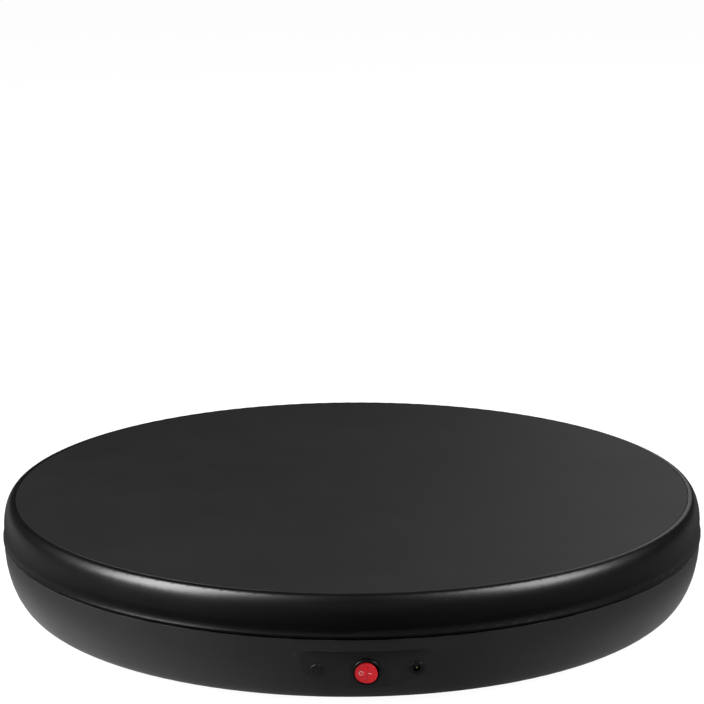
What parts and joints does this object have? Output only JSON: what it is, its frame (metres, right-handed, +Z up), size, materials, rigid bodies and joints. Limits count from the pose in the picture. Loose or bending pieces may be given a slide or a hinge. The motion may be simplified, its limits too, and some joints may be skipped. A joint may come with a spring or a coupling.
{
  "type": "turntable display stand",
  "caption": "Round motor-driven display stand whose flat top turns on a ball bearing and rollers above a bowl-shaped base.",
  "frame": {"origin": "on the floor under the spin axis, at the bottom centre of the stand", "axes": "+Z up along the spin axis, the control panel faces -Y"},
  "size_m": [0.5999, 0.6, 0.092],
  "materials": {
    "satin_black_shell": "satin",
    "gloss_black_rim": "semi-gloss",
    "matte_black_mat": "matte",
    "black_rubber": "matte",
    "grey_nylon": "matte",
    "bearing_steel": "ground",
    "natural_nylon": "matte",
    "white_acetal": "satin",
    "brass_gear": "machined",
    "axle_steel": "turned",
    "magnet_dark": "ground",
    "zinc_steel": "zinc plated",
    "cast_aluminium": "machined",
    "painted_can": "satin",
    "board_green": "solder mask",
    "chip_black": "moulded",
    "capacitor_sleeve": "shrink sleeve",
    "connector_white": "moulded",
    "switch_black": "satin",
    "switch_red": "translucent red",
    "brass_terminal": "tinned",
    "window_dark": "dark infrared filter",
    "lead_red": "insulation",
    "lead_black": "insulation",
    "lead_grey": "insulation",
    "screw_zinc": "zinc plated",
    "tyre_rubber": "matte"
  },
  "bodies": {
    "base": {"base_shell": "satin_black_shell", "bearing_lower_ring": "bearing_steel", "bearing_lower_screws": "screw_zinc", "bearing_tower": "grey_nylon", "board_capacitors": "capacitor_sleeve", "board_chips": "chip_black", "board_connectors": "connector_white", "board_screws": "screw_zinc", "control_board": "board_green", "dc_jack_body": "switch_black", "dc_jack_nut": "axle_steel", "dc_jack_pin": "brass_terminal", "idler_axle": "axle_steel", "idler_clip": "axle_steel", "ir_leads": "lead_grey", "ir_receiver": "chip_black", "ir_window": "window_dark", "jack_leads": "lead_black", "motor_bracket": "zinc_steel", "motor_bracket_screws": "screw_zinc", "motor_can": "painted_can", "motor_flange": "cast_aluminium", "motor_leads": "lead_black", "motor_mount_screws": "screw_zinc", "roller_axles": "axle_steel", "roller_bracket_screws": "screw_zinc", "roller_brackets": "zinc_steel", "rubber_feet": "black_rubber", "switch_body": "switch_black", "switch_leads": "lead_red", "switch_terminals": "brass_terminal", "tower_screws": "screw_zinc"},
    "platter": {"platter_shell": "gloss_black_rim", "platter_mat": "matte_black_mat", "roller_track": "zinc_steel", "track_screws": "screw_zinc", "ring_gear": "white_acetal", "ring_gear_screws": "screw_zinc", "bearing_upper_ring": "bearing_steel", "bearing_upper_screws": "screw_zinc"},
    "ball_cage": {"ball_cage": "natural_nylon", "bearing_balls": "bearing_steel"},
    "idler": {"idler_gear": "white_acetal"},
    "motor_rotor": {"motor_shaft": "axle_steel", "motor_pinion": "brass_gear", "rotor_magnet": "magnet_dark"},
    "switch_rocker": {"switch_rocker": "switch_red"},
    "roller_1": {"roller_1": "white_acetal", "roller_tyre_1": "tyre_rubber"},
    "roller_2": {"roller_2": "white_acetal", "roller_tyre_2": "tyre_rubber"},
    "roller_3": {"roller_3": "white_acetal", "roller_tyre_3": "tyre_rubber"},
    "roller_4": {"roller_4": "white_acetal", "roller_tyre_4": "tyre_rubber"},
    "roller_5": {"roller_5": "white_acetal", "roller_tyre_5": "tyre_rubber"},
    "roller_6": {"roller_6": "white_acetal", "roller_tyre_6": "tyre_rubber"}
  },
  "joints": [
    {"name": "platter_spin", "type": "hinge", "parent": "base", "child": "platter", "pos_m": [0, 0, 0.069], "axis": [0, 0, 1], "continuous": true},
    {"name": "cage_orbit", "type": "hinge", "parent": "base", "child": "ball_cage", "pos_m": [0, 0, 0.069], "axis": [0, 0, 1], "continuous": true},
    {"name": "idler_spin", "type": "hinge", "parent": "base", "child": "idler", "pos_m": [0, 0.102, 0.065], "axis": [0, 0, 1], "continuous": true},
    {"name": "motor_spin", "type": "hinge", "parent": "base", "child": "motor_rotor", "pos_m": [0, 0.13, 0.045], "axis": [0, 0, 1], "continuous": true},
    {"name": "roller_1_spin", "type": "hinge", "parent": "base", "child": "roller_1", "pos_m": [0.252, 0, 0.0577], "axis": [1, 0, 0], "continuous": true},
    {"name": "roller_2_spin", "type": "hinge", "parent": "base", "child": "roller_2", "pos_m": [0.126, 0.21824, 0.0577], "axis": [0.5, 0.866, 0], "continuous": true},
    {"name": "roller_3_spin", "type": "hinge", "parent": "base", "child": "roller_3", "pos_m": [-0.126, 0.21824, 0.0577], "axis": [-0.5, 0.866, 0], "continuous": true},
    {"name": "roller_4_spin", "type": "hinge", "parent": "base", "child": "roller_4", "pos_m": [-0.252, 0, 0.0577], "axis": [-1, 0, 0], "continuous": true},
    {"name": "roller_5_spin", "type": "hinge", "parent": "base", "child": "roller_5", "pos_m": [-0.126, -0.21824, 0.0577], "axis": [-0.5, -0.866, 0], "continuous": true},
    {"name": "roller_6_spin", "type": "hinge", "parent": "base", "child": "roller_6", "pos_m": [0.126, -0.21824, 0.0577], "axis": [0.5, -0.866, 0], "continuous": true},
    {"name": "switch_rocker_tilt", "type": "hinge", "parent": "base", "child": "switch_rocker", "pos_m": [0, -0.29004, 0.02975], "axis": [0, -0.1676, 0.9859], "range_deg": [0, 16]}
  ],
  "couplings": [
    {"joint": "cage_orbit", "follows": "platter_spin", "ratio": 0.5},
    {"joint": "idler_spin", "follows": "platter_spin", "ratio": -7.5},
    {"joint": "motor_spin", "follows": "platter_spin", "ratio": 22.5},
    {"joint": "roller_1_spin", "follows": "platter_spin", "ratio": -21},
    {"joint": "roller_2_spin", "follows": "platter_spin", "ratio": -21},
    {"joint": "roller_3_spin", "follows": "platter_spin", "ratio": -21},
    {"joint": "roller_4_spin", "follows": "platter_spin", "ratio": -21},
    {"joint": "roller_5_spin", "follows": "platter_spin", "ratio": -21},
    {"joint": "roller_6_spin", "follows": "platter_spin", "ratio": -21}
  ]
}
